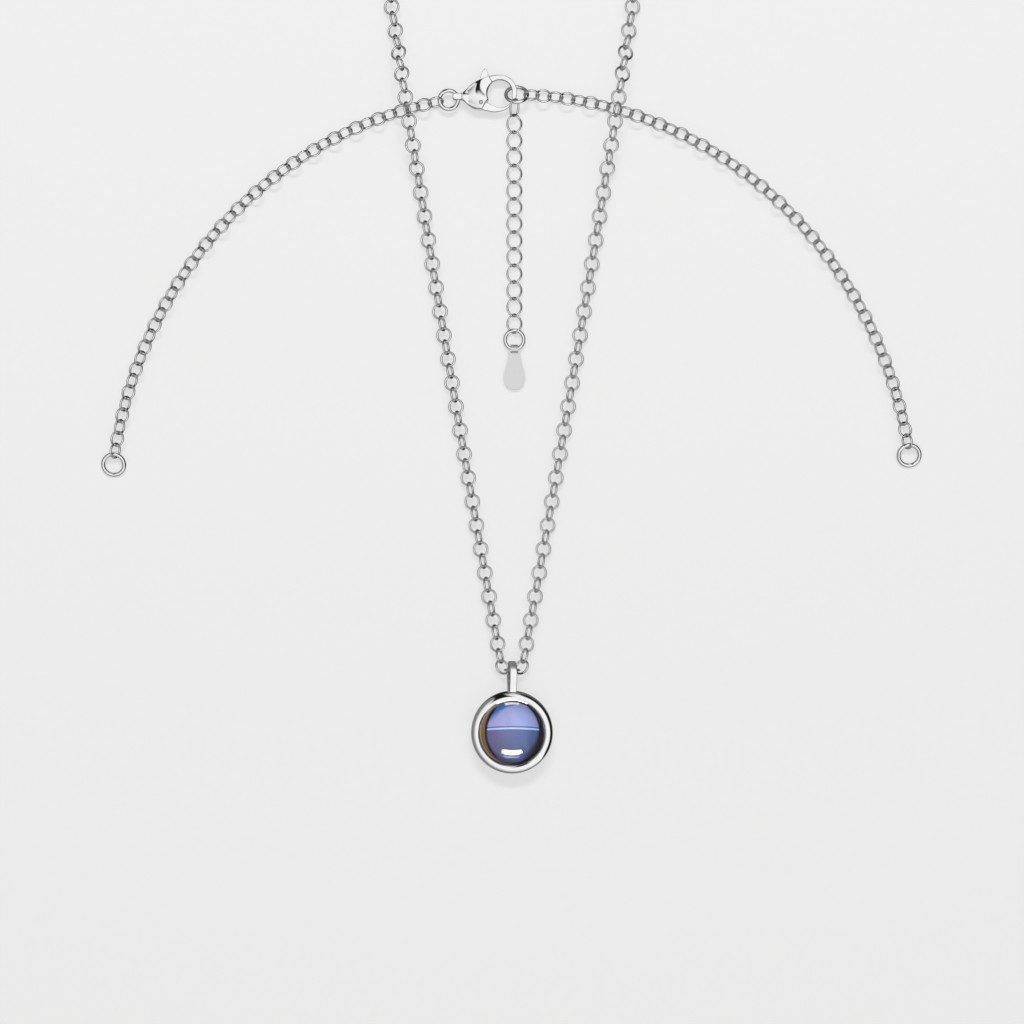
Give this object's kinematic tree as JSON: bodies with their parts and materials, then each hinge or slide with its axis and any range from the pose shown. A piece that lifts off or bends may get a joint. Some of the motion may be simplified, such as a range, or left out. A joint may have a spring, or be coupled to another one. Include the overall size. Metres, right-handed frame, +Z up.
{
  "type": "pendant necklace",
  "caption": "Fine round-link chain necklace with a round domed-lens pendant, a lobster clasp, an extender chain and a drop tag, laid flat.",
  "frame": {"origin": "centre of the pendant's flat back, on the table", "axes": "+Z up from the table through the lens, +Y from the pendant towards the clasp, +X to the wearer's left-hand strand as seen from above on the right"},
  "size_m": [0.1282, 0.1253, 0.005],
  "materials": {
    "bright_silver": "polished rhodium-plated silver",
    "satin_silver": "fine satin silver",
    "spring_steel": "drawn steel",
    "cup_dark_plate": "dark polished inner wall",
    "colour_foil": "blue colour-shifting film",
    "lens_glass": "clear polished dome"
  },
  "bodies": {
    "clasp_body": {"clasp_body": "bright_silver", "clasp_pin": "spring_steel", "clasp_spring": "spring_steel"},
    "clasp_lever": {"clasp_lever": "bright_silver"},
    "bail_link": {"bail_link": "bright_silver"},
    "pendant": {"pendant_bezel": "bright_silver", "pendant_back_plate": "bright_silver", "lens_cup": "cup_dark_plate", "foil_disc": "colour_foil", "glass_lens": "lens_glass", "pendant_bail": "bright_silver"},
    "front_left_chain_1": {"front_left_chain_1": "bright_silver"},
    "front_left_chain_2": {"front_left_chain_2": "bright_silver"},
    "front_left_chain_3": {"front_left_chain_3": "bright_silver"},
    "front_left_chain_4": {"front_left_chain_4": "bright_silver"},
    "front_left_chain_5": {"front_left_chain_5": "bright_silver"},
    "front_left_chain_6": {"front_left_chain_6": "bright_silver"},
    "front_left_chain_7": {"front_left_chain_7": "bright_silver"},
    "front_left_chain_8": {"front_left_chain_8": "bright_silver"},
    "front_left_open_ring": {"front_left_open_ring": "bright_silver"},
    "front_right_chain_1": {"front_right_chain_1": "bright_silver"},
    "front_right_chain_2": {"front_right_chain_2": "bright_silver"},
    "front_right_chain_3": {"front_right_chain_3": "bright_silver"},
    "front_right_chain_4": {"front_right_chain_4": "bright_silver"},
    "front_right_chain_5": {"front_right_chain_5": "bright_silver"},
    "front_right_chain_6": {"front_right_chain_6": "bright_silver"},
    "front_right_chain_7": {"front_right_chain_7": "bright_silver"},
    "front_right_chain_8": {"front_right_chain_8": "bright_silver"},
    "front_right_open_ring": {"front_right_open_ring": "bright_silver"},
    "clasp_ring": {"clasp_ring": "bright_silver"},
    "hook_ring": {"hook_ring": "bright_silver"},
    "back_left_chain_1": {"back_left_chain_1": "bright_silver"},
    "back_left_chain_2": {"back_left_chain_2": "bright_silver"},
    "back_left_chain_3": {"back_left_chain_3": "bright_silver"},
    "back_left_chain_4": {"back_left_chain_4": "bright_silver"},
    "back_left_chain_5": {"back_left_chain_5": "bright_silver"},
    "back_left_end_ring": {"back_left_end_ring": "bright_silver"},
    "back_right_chain_1": {"back_right_chain_1": "bright_silver"},
    "back_right_chain_2": {"back_right_chain_2": "bright_silver"},
    "back_right_chain_3": {"back_right_chain_3": "bright_silver"},
    "back_right_chain_4": {"back_right_chain_4": "bright_silver"},
    "back_right_chain_5": {"back_right_chain_5": "bright_silver"},
    "back_right_chain_6": {"back_right_chain_6": "bright_silver"},
    "back_right_end_ring": {"back_right_end_ring": "bright_silver"},
    "extender_chain_1": {"extender_drop_link": "bright_silver", "extender_chain_1": "bright_silver"},
    "extender_chain_2": {"extender_chain_2": "bright_silver"},
    "extender_chain_3": {"extender_chain_3": "bright_silver"},
    "tag_ring": {"tag_ring": "bright_silver"},
    "extender_tag": {"extender_tag": "satin_silver"}
  },
  "joints": [
    {"name": "clasp_lever_pivot", "type": "hinge", "parent": "clasp_body", "child": "clasp_lever", "pos_m": [-0.00485, 0.09808, 0.00135], "axis": [0, 0, 1], "range_deg": [0, 11], "stiffness_Nm_per_rad": 0.0001, "springref_deg": -11.46},
    {"name": "front_chain_lift", "type": "slide", "parent": "clasp_body", "child": "bail_link", "axis": [0, 0, 1], "range_m": [0, 0.05]},
    {"name": "pendant_swing", "type": "hinge", "parent": "bail_link", "child": "pendant", "pos_m": [0, 0.0091, 0.00205], "axis": [-0.9903, 0, 0.1392], "range_deg": [0, 110]},
    {"name": "front_left_hinge_1", "type": "hinge", "parent": "bail_link", "child": "front_left_chain_1", "pos_m": [-0.00112, 0.0097, 0.00205], "axis": [0, 0, -1], "range_deg": [-3, 3]},
    {"name": "front_left_hinge_2", "type": "hinge", "parent": "front_left_chain_1", "child": "front_left_chain_2", "pos_m": [-0.00345, 0.02034, 0.00122], "axis": [0, 0, 1], "range_deg": [-3.4, 3.4]},
    {"name": "front_left_hinge_3", "type": "hinge", "parent": "front_left_chain_2", "child": "front_left_chain_3", "pos_m": [-0.00568, 0.03295, 0.00122], "axis": [0, 0, -1], "range_deg": [-4, 4]},
    {"name": "front_left_hinge_4", "type": "hinge", "parent": "front_left_chain_3", "child": "front_left_chain_4", "pos_m": [-0.00798, 0.04627, 0.00122], "axis": [0, 0, 1], "range_deg": [-5.1, 5.1]},
    {"name": "front_left_hinge_5", "type": "hinge", "parent": "front_left_chain_4", "child": "front_left_chain_5", "pos_m": [-0.01012, 0.0589, 0.00122], "axis": [0, 0, -1], "range_deg": [-6.8, 6.8]},
    {"name": "front_left_hinge_6", "type": "hinge", "parent": "front_left_chain_5", "child": "front_left_chain_6", "pos_m": [-0.01233, 0.07223, 0.00122], "axis": [0, 0, 1], "range_deg": [-10.4, 10.4]},
    {"name": "front_left_hinge_7", "type": "hinge", "parent": "front_left_chain_6", "child": "front_left_chain_7", "pos_m": [-0.01438, 0.08488, 0.0012], "axis": [0, 0, -1], "range_deg": [-20, 20]},
    {"name": "front_left_hinge_8", "type": "hinge", "parent": "front_left_chain_7", "child": "front_left_chain_8", "pos_m": [-0.01866, 0.11232, 0.00121], "axis": [0, 0, 1], "range_deg": [-20, 20]},
    {"name": "front_left_ring_hinge", "type": "hinge", "parent": "front_left_chain_8", "child": "front_left_open_ring", "pos_m": [-0.01923, 0.11604, 0.00122], "axis": [0, 0, -1], "range_deg": [-30, 30]},
    {"name": "front_right_hinge_1", "type": "hinge", "parent": "bail_link", "child": "front_right_chain_1", "pos_m": [0.00112, 0.0097, 0.00205], "axis": [0, 0, 1], "range_deg": [-3, 3]},
    {"name": "front_right_hinge_2", "type": "hinge", "parent": "front_right_chain_1", "child": "front_right_chain_2", "pos_m": [0.00345, 0.02034, 0.00122], "axis": [0, 0, -1], "range_deg": [-3.4, 3.4]},
    {"name": "front_right_hinge_3", "type": "hinge", "parent": "front_right_chain_2", "child": "front_right_chain_3", "pos_m": [0.00568, 0.03295, 0.00122], "axis": [0, 0, 1], "range_deg": [-4, 4]},
    {"name": "front_right_hinge_4", "type": "hinge", "parent": "front_right_chain_3", "child": "front_right_chain_4", "pos_m": [0.00798, 0.04627, 0.00122], "axis": [0, 0, -1], "range_deg": [-5.1, 5.1]},
    {"name": "front_right_hinge_5", "type": "hinge", "parent": "front_right_chain_4", "child": "front_right_chain_5", "pos_m": [0.01012, 0.0589, 0.00122], "axis": [0, 0, 1], "range_deg": [-6.8, 6.8]},
    {"name": "front_right_hinge_6", "type": "hinge", "parent": "front_right_chain_5", "child": "front_right_chain_6", "pos_m": [0.01233, 0.07223, 0.00122], "axis": [0, 0, -1], "range_deg": [-10.4, 10.4]},
    {"name": "front_right_hinge_7", "type": "hinge", "parent": "front_right_chain_6", "child": "front_right_chain_7", "pos_m": [0.01438, 0.08488, 0.0012], "axis": [0, 0, 1], "range_deg": [-20, 20]},
    {"name": "front_right_hinge_8", "type": "hinge", "parent": "front_right_chain_7", "child": "front_right_chain_8", "pos_m": [0.01866, 0.11232, 0.00121], "axis": [0, 0, -1], "range_deg": [-20, 20]},
    {"name": "front_right_ring_hinge", "type": "hinge", "parent": "front_right_chain_8", "child": "front_right_open_ring", "pos_m": [0.01923, 0.11604, 0.00122], "axis": [0, 0, 1], "range_deg": [-30, 30]},
    {"name": "clasp_ring_swing", "type": "hinge", "parent": "clasp_body", "child": "clasp_ring", "pos_m": [-0.00852, 0.09907, 0.00135], "axis": [0, 0, 1], "range_deg": [-6, 4]},
    {"name": "hook_ring_swing", "type": "hinge", "parent": "clasp_body", "child": "hook_ring", "pos_m": [0.00039, 0.0994, 0.00135], "axis": [0, 0, 1], "range_deg": [-5, 5]},
    {"name": "back_left_hinge_1", "type": "hinge", "parent": "clasp_ring", "child": "back_left_chain_1", "pos_m": [-0.01082, 0.09841, 0.00135], "axis": [0, 0, -1], "range_deg": [-8, 8]},
    {"name": "back_left_hinge_2", "type": "hinge", "parent": "back_left_chain_1", "child": "back_left_chain_2", "pos_m": [-0.02705, 0.09293, 0.00114], "axis": [0, 0, 1], "range_deg": [-18, 18]},
    {"name": "back_left_hinge_3", "type": "hinge", "parent": "back_left_chain_2", "child": "back_left_chain_3", "pos_m": [-0.0406, 0.08364, 0.00114], "axis": [0, 0, -1], "range_deg": [-18, 18]},
    {"name": "back_left_hinge_4", "type": "hinge", "parent": "back_left_chain_3", "child": "back_left_chain_4", "pos_m": [-0.05173, 0.0706, 0.00114], "axis": [0, 0, 1], "range_deg": [-18, 18]},
    {"name": "back_left_hinge_5", "type": "hinge", "parent": "back_left_chain_4", "child": "back_left_chain_5", "pos_m": [-0.05842, 0.05726, 0.00114], "axis": [0, 0, -1], "range_deg": [-18, 18]},
    {"name": "back_left_ring_hinge", "type": "hinge", "parent": "back_left_chain_5", "child": "back_left_end_ring", "pos_m": [-0.06207, 0.04277, 0.00114], "axis": [0, 0, -1], "range_deg": [-30, 30]},
    {"name": "back_right_hinge_1", "type": "hinge", "parent": "hook_ring", "child": "back_right_chain_1", "pos_m": [0.00193, 0.09937, 0.00135], "axis": [0, 0, 1], "range_deg": [-8, 8]},
    {"name": "back_right_hinge_2", "type": "hinge", "parent": "back_right_chain_1", "child": "back_right_chain_2", "pos_m": [0.0188, 0.09636, 0.00114], "axis": [0, 0, -1], "range_deg": [-18, 18]},
    {"name": "back_right_hinge_3", "type": "hinge", "parent": "back_right_chain_2", "child": "back_right_chain_3", "pos_m": [0.03228, 0.08995, 0.00114], "axis": [0, 0, 1], "range_deg": [-18, 18]},
    {"name": "back_right_hinge_4", "type": "hinge", "parent": "back_right_chain_3", "child": "back_right_chain_4", "pos_m": [0.04384, 0.08052, 0.00114], "axis": [0, 0, -1], "range_deg": [-18, 18]},
    {"name": "back_right_hinge_5", "type": "hinge", "parent": "back_right_chain_4", "child": "back_right_chain_5", "pos_m": [0.05294, 0.06867, 0.00114], "axis": [0, 0, 1], "range_deg": [-18, 18]},
    {"name": "back_right_hinge_6", "type": "hinge", "parent": "back_right_chain_5", "child": "back_right_chain_6", "pos_m": [0.05918, 0.05511, 0.00114], "axis": [0, 0, -1], "range_deg": [-18, 18]},
    {"name": "back_right_ring_hinge", "type": "hinge", "parent": "back_right_chain_6", "child": "back_right_end_ring", "pos_m": [0.06185, 0.04422, 0.00114], "axis": [0, 0, 1], "range_deg": [-30, 30]},
    {"name": "extender_hinge_1", "type": "hinge", "parent": "hook_ring", "child": "extender_chain_1", "pos_m": [0.00037, 0.09847, 0.00258], "axis": [0, 0, -1], "range_deg": [-7, 7]},
    {"name": "extender_hinge_2", "type": "hinge", "parent": "extender_chain_1", "child": "extender_chain_2", "pos_m": [0.00037, 0.0832, 0.00072], "axis": [0, 0, 1], "range_deg": [-9, 9]},
    {"name": "extender_hinge_3", "type": "hinge", "parent": "extender_chain_2", "child": "extender_chain_3", "pos_m": [0.00037, 0.0702, 0.00072], "axis": [0, 0, -1], "range_deg": [-9, 9]},
    {"name": "tag_ring_hinge", "type": "hinge", "parent": "extender_chain_3", "child": "tag_ring", "pos_m": [0.00037, 0.06224, 0.00072], "axis": [0, 0, 1], "range_deg": [-15, 15]},
    {"name": "tag_flap", "type": "hinge", "parent": "tag_ring", "child": "extender_tag", "pos_m": [0.00037, 0.05976, 0.00072], "axis": [-1, 0, 0], "range_deg": [0, 80]}
  ]
}
